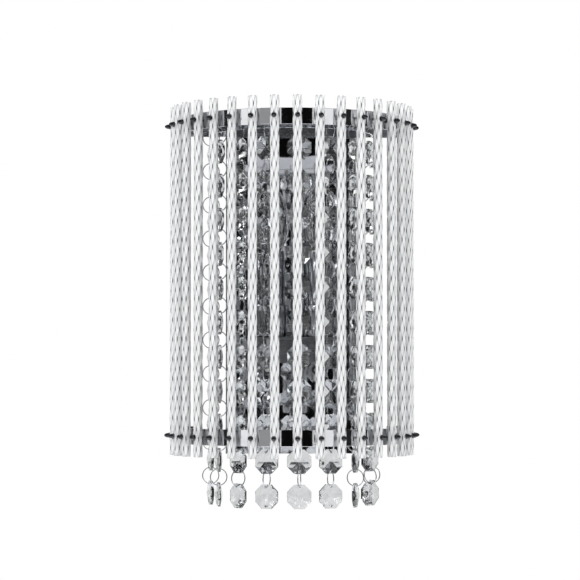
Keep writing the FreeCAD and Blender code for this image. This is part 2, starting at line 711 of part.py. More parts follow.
def crystal():
    """One octagon crystal: a flat eight-sided pyramid each way, with rim facets and two holes."""
    flat = value("crystal_across") / 2
    corner = flat / math.cos(math.pi / CRYSTAL_SIDES)
    centre = value("crystal_centre") / 2
    rim = value("crystal_rim") / 2
    star = value("crystal_star")
    slope = (centre - rim) / corner
    star_depth = centre - slope * star * math.cos(math.pi / CRYSTAL_SIDES)
    step = 2 * math.pi / CRYSTAL_SIDES

    def point(radius, angle, depth):
        return FreeCAD.Vector(radius * math.sin(angle), depth, radius * math.cos(angle))

    outlines = []
    for index in range(CRYSTAL_SIDES):
        here = index * step
        before = here - step / 2
        after = here + step / 2
        for side in (1, -1):
            star_tip = point(star, here, side * star_depth)
            next_tip = point(star, here + step, side * star_depth)
            edge = [point(corner, before, side * rim), point(corner, after, side * rim)]
            outlines.append([point(0, 0, side * centre), star_tip, edge[1], next_tip])
            outlines.append([star_tip, edge[0], edge[1]])
        outlines.append([point(corner, before, rim), point(corner, after, rim),
                         point(corner, after, -rim), point(corner, before, -rim)])
    faces = [Part.Face(Part.makePolygon(points + points[:1])) for points in outlines]
    solid = Part.makeSolid(Part.makeShell(faces))
    if solid.Volume < 0:
        solid.reverse()
    for z in (flat - value("hole_inset"), value("hole_inset") - flat):
        hole = disc(value("crystal_hole"), -centre * 2, centre * 4)
        hole.translate(FreeCAD.Vector(0, 0, z))
        solid = solid.cut(hole)
    return solid


def place_on_strand(shape, z, twist, angle):
    """A copy of a strand's piece at a height, turned about the strand and round the axis."""
    placed = around(shape, twist)
    placed.translate(FreeCAD.Vector(0, -value("inner_circle"), z))
    return around(placed, angle)


def strands():
    """Every strand's crystals and rings, hanging from the inner band."""
    link = value("ring_across - ring_wire") / 2
    seat = value("crystal_hole / 2 - ring_wire / 2 - ring_gap")
    reach = value("crystal_across / 2 - hole_inset") - seat
    hang = value(HANGER_Z + " - hanger_hole / 2 + ring_wire / 2 + ring_gap")
    pitch = 2 * (link + reach)
    glass = crystal()
    ring = Part.makeTorus(link, value("ring_wire") / 2, FreeCAD.Vector(0, 0, 0),
                          FreeCAD.Vector(1, 0, 0))
    count = int(value("crystals_each"))
    parts = []
    for index, angle in enumerate(strand_angles(), start=1):
        turn = STRAND_TWISTS[(index - 1) % len(STRAND_TWISTS)]
        twists = [turn * step / count for step in range(count + 1)]
        heights = [hang - link * 2 - reach - pitch * step for step in range(count)]
        crystals = [place_on_strand(glass, z, twist, angle)
                    for z, twist in zip(heights, twists[1:])]
        rings = [place_on_strand(ring, z + reach + link, twist, angle)
                 for z, twist in zip(heights, twists)]
        parts.append(plain_feature("strand_%d_crystals" % index, Part.makeCompound(crystals),
                                   y="-axis_setback"))
        parts.append(plain_feature("strand_%d_rings" % index, Part.makeCompound(rings),
                                   y="-axis_setback"))
    return parts


def check(subpart):
    """Stops if a sub-part's shape is missing or bad."""
    shape = subpart.Shape
    if shape.isNull() or not shape.isValid() or not shape.Solids:
        raise RuntimeError("%s has no valid solid" % subpart.Label)


subparts = [tray(), wall_bracket(), bracket_studs(), cap_nuts(), terminal_block()]
subparts += [outer_band("upper_outer_band", "upper_leg", BAND_Z), inner_band("upper_inner_band")]
subparts += [outer_band("lower_outer_band", LOWER_LEG, "-" + BAND_Z)]
upper_screws = [OUTER_SCREW, INNER_SCREW, "strap_screw_place"]
upper_front = "(%s + strap_sheet)" % TRAY_DEPTH
lower_front = "(strap_wall_gap + strap_sheet)"
subparts += [strap("upper_rear_strap", upper_front, "band_height", BAND_Z, upper_screws)]
subparts += [strap("lower_rear_strap", lower_front, "lower_strap_height", "-" + BAND_Z,
                   [OUTER_SCREW])]
subparts += [frame_screws(), frame_nuts(), rod_pins(), pin_nuts(), lamp_bracket()]
for hand, lamp_x in (("left", "-lamp_spacing / 2"), ("right", "lamp_spacing / 2")):
    subparts += [lampholder("lampholder_" + hand, lamp_x)]
    subparts += [candle_sleeve("candle_sleeve_" + hand, lamp_x)]
    subparts += [bulb_cap("bulb_cap_" + hand, lamp_x)]
    subparts += [bulb_glass("bulb_glass_" + hand, lamp_x)]
    subparts += [lead("lead_" + hand, lamp_x)]
subparts += rods()
subparts += strands()
document.recompute()

for item in document.Objects:
    if "Invalid" in item.State or "Error" in item.State:
        raise RuntimeError("%s failed" % item.Label)
for subpart in subparts:
    check(subpart)

os.makedirs("parts", exist_ok=True)
for subpart in subparts:
    subpart.Shape.exportStep("parts/%s.step" % subpart.Label)
print("sub-parts written:", len(subparts))
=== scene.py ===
import logging
import math
from dataclasses import dataclass, field
from enum import Enum
from typing import Callable, Sequence

import bpy
from mathutils import Matrix, Vector

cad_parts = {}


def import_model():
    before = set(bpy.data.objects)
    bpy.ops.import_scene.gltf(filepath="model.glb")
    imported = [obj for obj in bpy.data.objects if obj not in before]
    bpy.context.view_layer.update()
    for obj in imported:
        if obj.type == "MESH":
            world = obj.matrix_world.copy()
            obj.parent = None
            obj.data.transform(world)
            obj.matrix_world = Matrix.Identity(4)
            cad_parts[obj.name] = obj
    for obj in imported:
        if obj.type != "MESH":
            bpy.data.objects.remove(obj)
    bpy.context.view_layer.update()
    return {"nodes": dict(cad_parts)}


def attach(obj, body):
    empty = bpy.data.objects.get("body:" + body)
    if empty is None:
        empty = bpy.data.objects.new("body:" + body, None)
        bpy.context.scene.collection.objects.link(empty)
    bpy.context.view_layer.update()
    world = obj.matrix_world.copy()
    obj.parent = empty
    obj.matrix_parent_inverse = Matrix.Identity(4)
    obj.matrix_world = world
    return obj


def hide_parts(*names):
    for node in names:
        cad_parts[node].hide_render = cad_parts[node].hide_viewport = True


MM = 0.001
AXIS = Vector((0.0, -25.0, 0.0)) * MM  # upright axis that rods and bands stand round
TOUCH = 0.01 * MM  # places nearer than this are the same
LOG = logging.getLogger("wall_sconce")

Colour = tuple[float, float, float]
Profile = Sequence[tuple[float, float]]


class Body(str, Enum):
    """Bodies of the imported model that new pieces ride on."""

    BASE = "base"
    BULB_LEFT = "bulb_left"
    BULB_RIGHT = "bulb_right"


class Slot(str, Enum):
    """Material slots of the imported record."""

    CHROME = "polished_chrome"
    HOLDER = "holder_plastic"
    SLEEVE = "sleeve_plastic"
    BRASS = "bulb_cap_brass"
    BULB = "bulb_glass"
    ROD = "rod_glass"


class Part(str, Enum):
    """Which elements of a mesh a selection works on."""

    VERT = "VERT"
    EDGE = "EDGE"
    FACE = "FACE"


class Bench:
    """Modelling steps that every sub-assembly uses."""

    @staticmethod
    def clear() -> None:
        """Leaves edit mode and deselects everything."""
        if bpy.context.object and bpy.context.object.mode != "OBJECT":
            bpy.ops.object.mode_set(mode="OBJECT")
        bpy.ops.object.select_all(action="DESELECT")

    @staticmethod
    def take(obj: bpy.types.Object) -> None:
        """Makes one object the only selected and active one.

        Args:
            obj: the object to work on next.
        """
        Bench.clear()
        obj.select_set(True)
        bpy.context.view_layer.objects.active = obj

    @staticmethod
    def added(name: str) -> bpy.types.Object:
        """Names the object that was just added.

        Args:
            name: the name for the object and for its mesh.

        Returns:
            The object.
        """
        obj = bpy.context.object
        obj.name = name
        obj.data.name = name
        return obj

    @staticmethod
    def settle(obj: bpy.types.Object) -> None:
        """Puts an object's place, turn and scale into its mesh."""
        Bench.take(obj)
        bpy.ops.object.transform_apply(location=True, rotation=True, scale=True)

    @staticmethod
    def choose(obj: bpy.types.Object, part: Part, test: Callable[[object], bool]) -> int:
        """Opens an object in edit mode with some of its elements selected.

        Args:
            obj: the object to work on.
            part: the kind of element that is tested.
            test: says for one element of the mesh whether it is wanted.

        Returns:
            The number of elements selected.
        """
        Bench.take(obj)
        bpy.ops.object.mode_set(mode="EDIT")
        bpy.ops.mesh.select_mode(type=part.value)
        bpy.ops.mesh.select_all(action="DESELECT")
        bpy.ops.object.mode_set(mode="OBJECT")
        mesh = obj.data
        items = {Part.VERT: mesh.vertices, Part.EDGE: mesh.edges, Part.FACE: mesh.polygons}[part]
        count = 0
        for item in items:
            item.select = bool(test(item))
            count += item.select
        bpy.ops.object.mode_set(mode="EDIT")
        return count

    @staticmethod
    def middle(obj: bpy.types.Object, edge: object) -> Vector:
        """The middle point of one edge."""
        return sum((obj.data.vertices[i].co for i in edge.vertices), Vector()) / 2

    @staticmethod
    def run(obj: bpy.types.Object, edge: object) -> Vector:
        """The vector from one end of an edge to the other."""
        first, last = (obj.data.vertices[i].co for i in edge.vertices)
        return last - first

    @staticmethod
    def extrude(step: Vector) -> None:
        """Extrudes what is selected by one step."""
        bpy.ops.mesh.extrude_region_move(TRANSFORM_OT_translate={"value": tuple(step)})

    @staticmethod
    def close(obj: bpy.types.Object, smooth: float = 35.0) -> None:
        """Merges doubles, turns the normals outwards and shades the mesh.

        Args:
            obj: the mesh object.
            smooth: edges flatter than this many degrees are shaded smooth.
        """
        Bench.choose(obj, Part.VERT, lambda item: True)
        bpy.ops.mesh.remove_doubles(threshold=0.000005)
        bpy.ops.mesh.select_all(action="SELECT")
        bpy.ops.mesh.normals_make_consistent(inside=False)
        bpy.ops.object.mode_set(mode="OBJECT")
        bpy.ops.object.shade_smooth_by_angle(angle=math.radians(smooth))

    @staticmethod
    def modify(obj: bpy.types.Object, kind: str, **settings: object) -> None:
        """Adds one modifier and applies it.

        Args:
            obj: the object to change.
            kind: the modifier's type.
            settings: values of the modifier's own fields.
        """
        Bench.take(obj)
        modifier = obj.modifiers.new("Shape", kind)
        for name, setting in settings.items():
            setattr(modifier, name, setting)
        bpy.ops.object.modifier_apply(modifier=modifier.name)

    @staticmethod
    def ease(obj: bpy.types.Object, width: float, segments: int = 2) -> None:
        """Rounds the sharp edges of a mesh by a width in millimetres."""
        Bench.modify(obj, "BEVEL", width=width * MM, segments=segments,
                     limit_method="ANGLE", angle_limit=math.radians(40))

    @staticmethod
    def turned(name: str, profile: Profile, place: Vector, sides: int = 32,
               hollow: bool = False) -> bpy.types.Object:
        """Turns a piece on the lathe: a circle is extruded and resized ring by ring.

        Args:
            name: the piece's name.
            profile: radius and height of each ring, in millimetres.
            place: the foot of the piece's axis, in metres.
            sides: faces round the axis.
            hollow: the rings end where they began, as on a tube.

        Returns:
            The finished mesh object.
        """
        Bench.clear()
        radius, height = profile[0]
        bpy.ops.mesh.primitive_circle_add(
            vertices=sides, radius=radius * MM, fill_type="NOTHING" if hollow else "NGON",
            location=place + Vector((0, 0, height * MM)))
        obj = Bench.added(name)
        bpy.ops.object.mode_set(mode="EDIT")
        bpy.ops.mesh.select_all(action="SELECT")
        for wide, high in profile[1:]:
            Bench.extrude(Vector((0, 0, (high - height) * MM)))
            height = high
            centre = place + Vector((0, 0, high * MM))
            if wide == 0:
                bpy.ops.mesh.merge(type="CENTER")
                break
            share = wide / radius
            bpy.ops.transform.resize(value=(share, share, 1), center_override=tuple(centre))
            radius = wide
        bpy.ops.object.mode_set(mode="OBJECT")
        Bench.settle(obj)
        Bench.close(obj)
        return obj

    @staticmethod
    def wire(name: str, points: Sequence[Vector], across: float) -> bpy.types.Object:
        """A round wire along a smooth line.

        Args:
            name: the piece's name.
            points: control points of the line, in metres.
            across: the wire's diameter in millimetres.

        Returns:
            The wire as a mesh object.
        """
        Bench.clear()
        curve = bpy.data.curves.new(name, "CURVE")
        curve.dimensions = "3D"
        spline = curve.splines.new("NURBS")
        spline.points.add(len(points) - 1)
        for knot, point in zip(spline.points, points):
            knot.co = (*point, 1.0)
        spline.order_u = 3
        spline.use_endpoint_u = True
        spline.resolution_u = 3
        curve.bevel_depth = across * MM / 2
        curve.bevel_resolution = 1
        curve.use_fill_caps = True
        obj = bpy.data.objects.new(name, curve)
        bpy.context.scene.collection.objects.link(obj)
        Bench.take(obj)
        bpy.ops.object.convert(target="MESH")
        obj = bpy.context.object
        Bench.close(obj)
        return obj

    @staticmethod
    def copy(obj: bpy.types.Object, name: str, move: Matrix) -> bpy.types.Object:
        """Copies a piece together with its mesh.

        Args:
            obj: the piece to copy.
            name: the copy's name.
            move: where the copy goes, applied inside its mesh.

        Returns:
            The copy.
        """
        mesh = obj.data.copy()
        mesh.name = name
        mesh.transform(move)
        made = bpy.data.objects.new(name, mesh)
        bpy.context.scene.collection.objects.link(made)
        return made

    @staticmethod
    def joined(pieces: Sequence[bpy.types.Object], name: str) -> bpy.types.Object:
        """Joins several pieces into one.

        Args:
            pieces: the pieces, of which the first takes in the others.
            name: the name of the whole.

        Returns:
            The joined piece.
        """
        Bench.take(pieces[0])
        for piece in pieces[1:]:
            piece.select_set(True)
        bpy.ops.object.join()
        return Bench.added(name)

    @staticmethod
    def rod_angle(index: int, count: int) -> float:
        """Where a rod stands on the half circle, in degrees from its front."""
        return (index - (count - 1) / 2) * 180 / count

    @staticmethod
    def round_axis(angle: float, lift: float = 0.0) -> Matrix:
        """A move round the half circle's axis.

        Args:
            angle: the turn in degrees.
            lift: the rise in millimetres.

        Returns:
            The move as a matrix.
        """
        centre = Matrix.Translation(AXIS)
        turn = Matrix.Rotation(math.radians(angle), 4, "Z")
        return Matrix.Translation((0, 0, lift * MM)) @ centre @ turn @ centre.inverted()


class Wiring:
    """Steps of node work that the groups, the finishes and the world share."""

    @staticmethod
    def node(tree: bpy.types.NodeTree, kind: str,
             inputs: dict[str | int, object] | None = None, **fields: object) -> bpy.types.Node:
        """Adds a node.

        Args:
            tree: the node tree that it goes in.
            kind: the node's type.
            inputs: what its inputs get: a socket is linked, and a value is set.
            fields: values of the node's own fields.

        Returns:
            The node.
        """
        node = tree.nodes.new(kind)
        for name, value in fields.items():
            setattr(node, name, value)
        for name, value in (inputs or {}).items():
            if isinstance(value, bpy.types.NodeSocket):
                tree.links.new(value, node.inputs[name])
            else:
                node.inputs[name].default_value = value
        return node

    @staticmethod
    def step(tree: bpy.types.NodeTree, operation: str, first: bpy.types.NodeSocket,
             second: bpy.types.NodeSocket | float | None = None) -> bpy.types.NodeSocket:
        """One step of arithmetic on values that change from place to place.

        Args:
            tree: the node tree that it goes in.
            operation: the math node's operation.
            first: the first value's socket.
            second: the second value, a socket or a number.

        Returns:
            The socket with the result.
        """
        values = {0: first} if second is None else {0: first, 1: second}
        return Wiring.node(tree, "ShaderNodeMath", values, operation=operation).outputs[0]

    @staticmethod
    def group(name: str, inputs: dict[str, object], outputs: Sequence[str]
              ) -> tuple[bpy.types.NodeTree, bpy.types.Node, bpy.types.Node]:
        """Begins a shader group.

        Args:
            name: the group's name.
            inputs: its inputs with their first values; three numbers make a vector.
            outputs: the names of its outputs, all plain numbers.

        Returns:
            The group, its entry node and its exit node.
        """
        tree = bpy.data.node_groups.new(name, "ShaderNodeTree")
        for label, start in inputs.items():
            kind = "NodeSocketVector" if isinstance(start, tuple) else "NodeSocketFloat"
            socket = tree.interface.new_socket(label, in_out="INPUT", socket_type=kind)
            socket.default_value = start
        for label in outputs:
            tree.interface.new_socket(label, in_out="OUTPUT", socket_type="NodeSocketFloat")
        return tree, tree.nodes.new("NodeGroupInput"), tree.nodes.new("NodeGroupOutput")


class SharedNodes:
    """Shader groups and materials that are built once and then found again."""

    made: dict[str, bpy.types.NodeTree] = {}
    finished: dict["Finish", bpy.types.Material] = {}

    @classmethod
    def tarnish(cls) -> bpy.types.NodeTree:
        """Cloudy smudges and fine grain over a surface.

        Returns:
            A group with inputs Place, Stretch, Clouds and Grain and outputs Smudge and Grain.
        """
        if "tarnish" in cls.made:
            return cls.made["tarnish"]
        tree, entry, leave = Wiring.group(
            "tarnish", {"Place": (0, 0, 0), "Stretch": (1, 1, 1), "Clouds": 40.0, "Grain": 900.0},
            ("Smudge", "Grain"))
        place = Wiring.node(tree, "ShaderNodeVectorMath", {
            0: entry.outputs["Place"], 1: entry.outputs["Stretch"]},
            operation="MULTIPLY").outputs[0]
        clouds = Wiring.node(tree, "ShaderNodeTexNoise", {
            "Vector": place, "Scale": entry.outputs["Clouds"], "Detail": 5, "Roughness": 0.6,
            "Distortion": 0.6})
        contrast = Wiring.node(tree, "ShaderNodeMapRange", {
            "Value": clouds.outputs["Fac"], "From Min": 0.35, "From Max": 0.68})
        grain = Wiring.node(tree, "ShaderNodeTexNoise", {
            "Vector": place, "Scale": entry.outputs["Grain"], "Detail": 3})
        tree.links.new(contrast.outputs["Result"], leave.inputs["Smudge"])
        tree.links.new(grain.outputs["Fac"], leave.inputs["Grain"])
        cls.made["tarnish"] = tree
        return tree

    @classmethod
    def dust(cls) -> bpy.types.NodeTree:
        """Thin dust that lies on faces that look up.

        Returns:
            A group with the input Amount and the output Dust, a mask.
        """
        if "dust" in cls.made:
            return cls.made["dust"]
        tree, entry, leave = Wiring.group("dust", {"Amount": 0.3}, ("Dust",))
        normal = Wiring.node(tree, "ShaderNodeNewGeometry").outputs["Normal"]
        split = Wiring.node(tree, "ShaderNodeSeparateXYZ", {0: normal})
        upward = Wiring.node(tree, "ShaderNodeMapRange", {
            "Value": split.outputs["Z"], "From Min": 0.2, "From Max": 1.0})
        place = Wiring.node(tree, "ShaderNodeTexCoord").outputs["Object"]
        noise = Wiring.node(tree, "ShaderNodeTexNoise", {
            "Vector": place, "Scale": 260, "Detail": 4})
        spread = Wiring.step(tree, "MULTIPLY", upward.outputs["Result"], noise.outputs["Fac"])
        total = Wiring.step(tree, "MULTIPLY", spread, entry.outputs["Amount"])
        tree.links.new(total, leave.inputs["Dust"])
        cls.made["dust"] = tree
        return tree


@dataclass(frozen=True)
class Finish:
    """One finish of the light, as a node material."""

    name: str
    colour: Colour
    # Second colour, laid on by the mask: stains on most finishes, painted shade lines on the rods.
    stain_and_shade: Colour
    rough: float
    rough_span: float = 0.05
    metal: float = 0.0
    clear: float = 0.0
    ior: float = 1.5
    clouds: float = 40.0
    grain: float = 900.0
    stretch: tuple[float, float, float] = (1.0, 1.0, 1.0)
    relief: float = 0.02
    relief_strength: float = 0.35
    dust: float = 0.0
    dust_colour: Colour = (0.62, 0.60, 0.57)
    follows: str = ""

    def material(self) -> bpy.types.Material:
        """Builds the material, or returns it if it is there.

        Returns:
            The material with its varying colour, roughness and relief.
        """
        if self in SharedNodes.finished:
            return SharedNodes.finished[self]
        material = bpy.data.materials.new(self.name + "_finish")
        SharedNodes.finished[self] = material
        material.use_nodes = True
        tree = material.node_tree
        shader = tree.nodes["Principled BSDF"]
        shader.inputs["Metallic"].default_value = self.metal
        shader.inputs["Transmission Weight"].default_value = self.clear
        shader.inputs["IOR"].default_value = self.ior
        place = self.place(tree)
        worn = Wiring.node(tree, "ShaderNodeGroup", {
            "Place": place, "Stretch": self.stretch, "Clouds": self.clouds,
            "Grain": self.grain}, node_tree=SharedNodes.tarnish())
        smudge = worn.outputs["Smudge"]
        tint = Wiring.node(tree, "ShaderNodeMix", {
            "Factor": self.mask(tree, place, smudge), "A": (*self.colour, 1.0),
            "B": (*self.stain_and_shade, 1.0)}, data_type="RGBA").outputs["Result"]
        if self.dust > 0:
            tint = self.dusted(tree, tint)
        gloss = Wiring.node(tree, "ShaderNodeMapRange", {
            "Value": smudge, "To Min": self.rough, "To Max": self.rough + self.rough_span})
        bump = Wiring.node(tree, "ShaderNodeBump", {
            "Strength": self.relief_strength, "Distance": self.relief * MM,
            "Height": worn.outputs["Grain"]})
        for name, source in (("Base Color", tint), ("Roughness", gloss.outputs["Result"]),
                             ("Normal", bump.outputs["Normal"])):
            tree.links.new(source, shader.inputs[name])
        return material

    def place(self, tree: bpy.types.NodeTree) -> bpy.types.NodeSocket:
        """Says where on a piece the pattern is read.

        Args:
            tree: the material's nodes.

        Returns:
            The socket with the attribute that the finish follows, or with the piece's own
            coordinates.
        """
        if self.follows:
            return Wiring.node(tree, "ShaderNodeAttribute",
                               attribute_name=self.follows).outputs["Vector"]
        return Wiring.node(tree, "ShaderNodeTexCoord").outputs["Object"]

    def mask(self, tree: bpy.types.NodeTree, place: bpy.types.NodeSocket,
             smudge: bpy.types.NodeSocket) -> bpy.types.NodeSocket:
        """The socket that says where the stain colour shows; the rods' own mask paints shade with
        it.
        """
        return smudge

    def dusted(self, tree: bpy.types.NodeTree,
               tint: bpy.types.NodeSocket) -> bpy.types.NodeSocket:
        """Lays dust over the colour.

        Args:
            tree: the material's nodes.
            tint: the socket with the clean colour.

        Returns:
            The socket with the dusty colour.
        """
        dusty = Wiring.node(tree, "ShaderNodeGroup", {"Amount": self.dust},
                            node_tree=SharedNodes.dust())
        return Wiring.node(tree, "ShaderNodeMix", {
            "Factor": dusty.outputs["Dust"], "A": tint, "B": (*self.dust_colour, 1.0)},
            data_type="RGBA").outputs["Result"]


@dataclass(frozen=True)
class RodFinish(Finish):
    """Glass with painted shade: grey lines along its twisted ridges, near side and far side."""

    lead: float = 99.0
    ridge_count: int = 6
    # How narrow and how dark the painted shade lines on the near and far ridges are.
    near_sharpness: float = 9.0
    far_sharpness: float = 14.4
    near_share: float = 0.42
    far_share: float = 0.34
    crossing_share: float = 0.9
    smudge_share: float = 0.12

    def mask(self, tree: bpy.types.NodeTree, place: bpy.types.NodeSocket,
             smudge: bpy.types.NodeSocket) -> bpy.types.NodeSocket:
        """Painted shade: dark lines along the near and the far ridges, darkest where they cross.

        Args:
            tree: the material's nodes.
            place: the socket with the place before the rod was twisted.
            smudge: the socket with the smudges.

        Returns:
            The socket with the mask.
        """
        height = Wiring.node(tree, "ShaderNodeSeparateXYZ", {0: place}).outputs["Z"]
        angle = Wiring.step(tree, "MULTIPLY", height, 4 * math.pi / (self.lead * MM))
        turned = Wiring.node(tree, "ShaderNodeVectorRotate", {"Vector": place, "Angle": angle},
                             rotation_type="Z_AXIS")
        near = self.ridges(tree, place, self.near_sharpness)
        far = self.ridges(tree, turned.outputs["Vector"], self.far_sharpness)
        crossing = Wiring.step(tree, "MULTIPLY", near, far)
        total = Wiring.step(tree, "MULTIPLY", near, self.near_share)
        for line, share in ((far, self.far_share), (crossing, self.crossing_share),
                            (smudge, self.smudge_share)):
            part = Wiring.step(tree, "MULTIPLY", line, share)
            total = Wiring.step(tree, "ADD", total, part)
        return total

    def ridges(self, tree: bpy.types.NodeTree, place: bpy.types.NodeSocket,
               sharpness: float) -> bpy.types.NodeSocket:
        """Painted shade lines along the ridges round the rod's axis.

        Args:
            tree: the material's nodes.
            place: the socket with the place before the rod was twisted.
            sharpness: how narrow the lines are.

        Returns:
            The socket with the lines' mask.
        """
        split = Wiring.node(tree, "ShaderNodeSeparateXYZ", {0: place})
        turn = Wiring.step(tree, "ARCTAN2", split.outputs["Y"], split.outputs["X"])
        wave = Wiring.step(tree, "SINE", Wiring.step(tree, "MULTIPLY", turn, self.ridge_count / 2))
        return Wiring.step(tree, "POWER", Wiring.step(tree, "ABSOLUTE", wave), sharpness)


CHROME = Finish("polished_chrome", (0.80, 0.81, 0.83), (0.70, 0.71, 0.74), 0.03, 0.05, metal=1.0,
                clouds=30, grain=700, relief=0.004)
MIRROR = Finish("mirror_steel", (0.64, 0.65, 0.67), (0.50, 0.51, 0.54), 0.03, 0.05, metal=1.0,
                clouds=24, grain=500, relief=0.006)
STEEL = Finish("plated_steel", (0.40, 0.41, 0.42), (0.28, 0.29, 0.31), 0.20, 0.16, metal=1.0,
               clouds=60, grain=1100, stretch=(0.12, 1.0, 1.0), relief=0.02, dust=0.5)
ZINC = Finish("zinc_fasteners", (0.60, 0.60, 0.58), (0.42, 0.42, 0.40), 0.22, 0.18, metal=1.0,
              clouds=420, grain=1800, relief=0.02)
# Painted dark reflection: the polished pins are coloured near black where the chrome mirrors dark
# surroundings.
PIN = Finish("pin_heads", (0.10, 0.10, 0.11), (0.05, 0.05, 0.055), 0.16, 0.12, metal=1.0,
             clouds=500, grain=2000, relief=0.01)
WIRE = Finish("ring_wire", (0.72, 0.73, 0.75), (0.50, 0.51, 0.54), 0.08, 0.10, metal=1.0,
              clouds=300, grain=1500, relief=0.01)
# The rods' second colour is painted shade: the dark lines along their twisted ridges.
ROD = RodFinish("rod_glass", (1.0, 1.0, 1.0), (0.10, 0.11, 0.11), 0.0, 0.04, clear=0.42,
                ior=1.5, clouds=900, grain=900, stretch=(1.0, 1.0, 0.10), relief=0.10,
                follows="wound")
CRYSTAL = Finish("crystal", (0.74, 0.75, 0.755), (0.60, 0.61, 0.62), 0.0, 0.02, clear=1.0,
                 ior=1.6, clouds=240, grain=420, relief=0.01)
BULB = Finish("bulb_glass", (0.93, 0.93, 0.93), (0.84, 0.845, 0.85), 0.02, 0.05, clear=1.0,
              ior=1.46, clouds=120, grain=300, stretch=(1.0, 1.0, 0.3), relief=0.02)
BRASS = Finish("bulb_cap_brass", (0.72, 0.60, 0.38), (0.50, 0.40, 0.24), 0.22, 0.20, metal=1.0,
               clouds=260, grain=1400, relief=0.03)
HOLDER = Finish("plated_holder", (0.58, 0.59, 0.61), (0.42, 0.43, 0.46), 0.10, 0.12, metal=1.0,
                clouds=130, grain=2400, relief=0.01, dust=0.25)
SLEEVE = Finish("plated_sleeve", (0.50, 0.51, 0.53), (0.36, 0.37, 0.40), 0.06, 0.10, metal=1.0,
                clouds=80, grain=1600, stretch=(1.0, 1.0, 0.2), relief=0.008, dust=0.1)
BLOCK = Finish("terminal_nylon", (0.74, 0.74, 0.71), (0.62, 0.62, 0.58), 0.45, 0.15,
               clouds=150, grain=2000, relief=0.05, dust=0.4)
SHEATH = Finish("lead_sheath", (0.62, 0.62, 0.61), (0.50, 0.50, 0.49), 0.45, 0.15,
                clouds=200, grain=1700, relief=0.06, dust=0.3)
RUBBER = Finish("grommet_rubber", (0.025, 0.025, 0.026), (0.05, 0.05, 0.05), 0.6, 0.2,
                clouds=300, grain=2500, relief=0.06, dust=0.3)
TUNGSTEN = Finish("filament_wire", (0.30, 0.29, 0.28), (0.16, 0.15, 0.15), 0.3, 0.2, metal=1.0,
                  clouds=900, grain=3000, relief=0.01)


class Piece:
    """What every new piece gets: its finish, its body and its node."""

    @staticmethod
    def dress(obj: bpy.types.Object, finish: Finish, slot: Slot, body: Body = Body.BASE,
              stands_for: Sequence[str] = ()) -> bpy.types.Object:
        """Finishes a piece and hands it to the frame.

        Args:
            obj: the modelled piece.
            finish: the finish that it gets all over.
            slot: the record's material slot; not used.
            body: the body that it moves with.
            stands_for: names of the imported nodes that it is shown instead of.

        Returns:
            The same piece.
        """
        obj.data.materials.clear()
        obj.data.materials.append(finish.material())
        for face in obj.data.polygons:
            face.material_index = 0
        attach(obj, body.value)
        if stands_for:
            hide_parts(*stands_for)
        LOG.info("piece %s: %d faces", obj.name, len(obj.data.polygons))
        return obj


@dataclass
class GlassRods:
    """The seventeen twisted glass rods round the front."""

    count: int = 17
    circle: float = 100.0
    length: float = 294.0
    corner: float = 4.0
    lead: float = 99.0
    easing: float = 0.45
    rim: float = 0.3
    fall: float = 0.25
    cuts: int = 118

    def model(self) -> bpy.types.Object:
        """Models the front rod: a six-sided bar with eased edges, twisted.

        Returns:
            The rod as a mesh object at the front of the half circle.
        """
        Bench.clear()
        bpy.ops.mesh.primitive_cylinder_add(vertices=6, radius=self.corner * MM,
                                            depth=self.length * MM, location=(0, 0, 0))
        rod = Bench.added("rod_model")

        def upright(edge: object) -> bool:
            """Says whether an edge runs along the rod."""
            return abs(Bench.run(rod, edge).z) > 0.01

        Bench.choose(rod, Part.EDGE, upright)
        bpy.ops.mesh.bevel(offset=self.easing * MM, segments=2, affect="EDGES")
        Bench.choose(rod, Part.FACE, lambda face: abs(face.normal.z) > 0.9)
        bpy.ops.mesh.inset(thickness=self.rim * MM)
        bpy.ops.object.mode_set(mode="OBJECT")
        high = self.length * MM / 2
        for side in (1, -1):
            Bench.choose(rod, Part.FACE, lambda face: face.normal.z * side > 0.9
                         and face.center.xy.length < 0.5 * MM)
            bpy.ops.transform.translate(value=(0, 0, self.fall * MM * side))
            bpy.ops.object.mode_set(mode="OBJECT")
        for vertex in rod.data.vertices:
            if high - 0.1 * TOUCH < abs(vertex.co.z) <= high:
                vertex.co.z = math.copysign(high - self.fall * MM, vertex.co.z)
        Bench.choose(rod, Part.EDGE, upright)
        bpy.ops.mesh.subdivide(number_cuts=self.cuts)
        bpy.ops.object.mode_set(mode="OBJECT")
        wound = rod.data.attributes.new("wound", "FLOAT_VECTOR", "POINT")
        for vertex, entry in zip(rod.data.vertices, wound.data):
            entry.vector = vertex.co
        turns = self.length / self.lead
        Bench.modify(rod, "SIMPLE_DEFORM", deform_method="TWIST", deform_axis="Z",
                     angle=2 * math.pi * turns)
        for vertex in rod.data.vertices:
            vertex.co.z = max(-high, min(high, vertex.co.z))
        rod.data.transform(Matrix.Translation(AXIS + Vector((0, -self.circle * MM, 0))))
        Bench.close(rod, 50)
        return rod

    def build(self) -> None:
        """Copies the rod round the half circle and dresses every copy."""
        rod = self.model()
        for index in range(self.count):
            name = "rod_%02d" % (index + 1)
            move = Bench.round_axis(Bench.rod_angle(index, self.count))
            copy = Bench.copy(rod, "twisted_" + name, move)
            Piece.dress(copy, ROD, Slot.ROD, stands_for=[name])
        bpy.data.objects.remove(rod)


